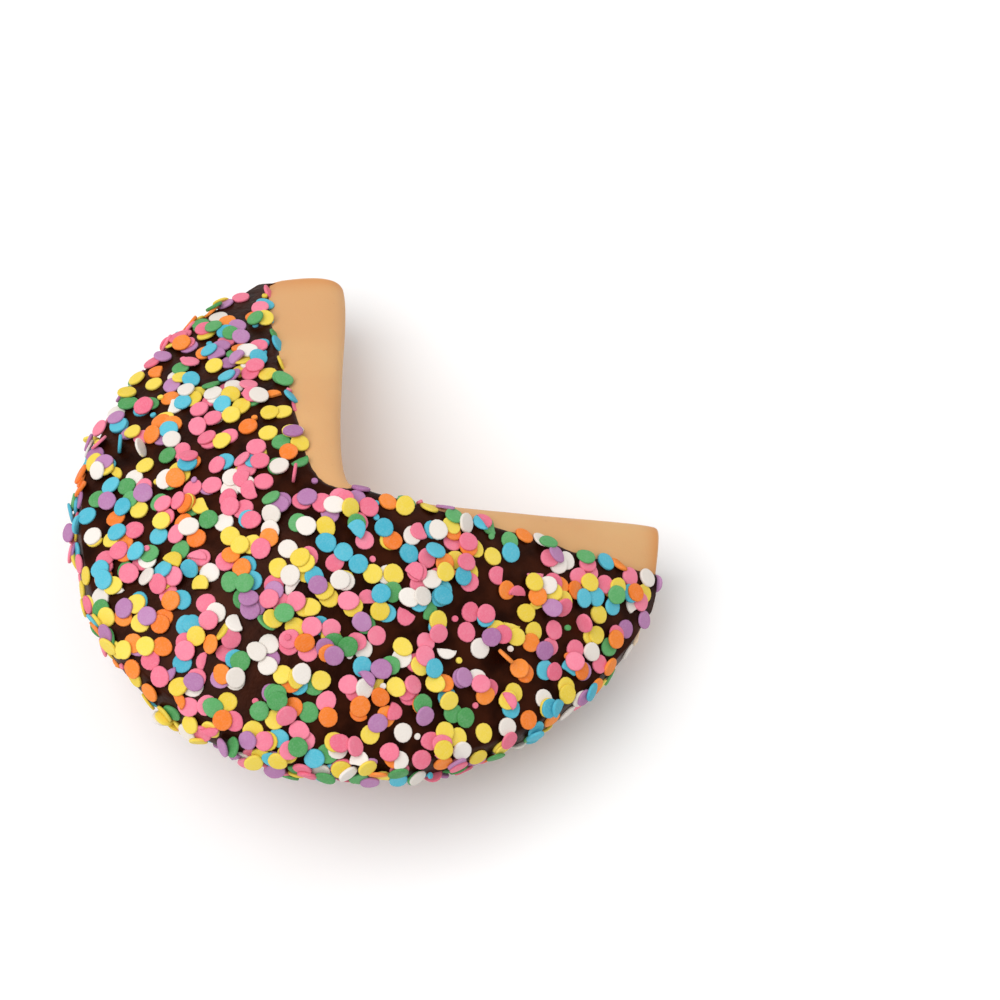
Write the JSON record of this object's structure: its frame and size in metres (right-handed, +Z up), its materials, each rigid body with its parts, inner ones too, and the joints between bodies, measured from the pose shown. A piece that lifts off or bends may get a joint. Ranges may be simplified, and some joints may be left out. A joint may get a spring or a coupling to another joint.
{
  "type": "fortune cookie",
  "caption": "Giant fortune cookie: a round wafer folded over and bent into a V, dipped in dark chocolate up to a bare strip along its fold.",
  "frame": {"origin": "on the table under the middle of the cookie's bounding box", "axes": "+Z up; +X from the notch towards the middle of the rim; +Y towards the wing whose bare strip is narrow"},
  "size_m": [0.1275, 0.143, 0.0657],
  "materials": {
    "wafer": "baked golden wafer, smooth and matt, with a faint grain",
    "dark_chocolate": "set dark chocolate, softly glossy, covered with flat sugar sprinkles in the visual model"
  },
  "bodies": {
    "root": {"wafer": "wafer", "chocolate_coat": "dark_chocolate"}
  },
  "joints": []
}
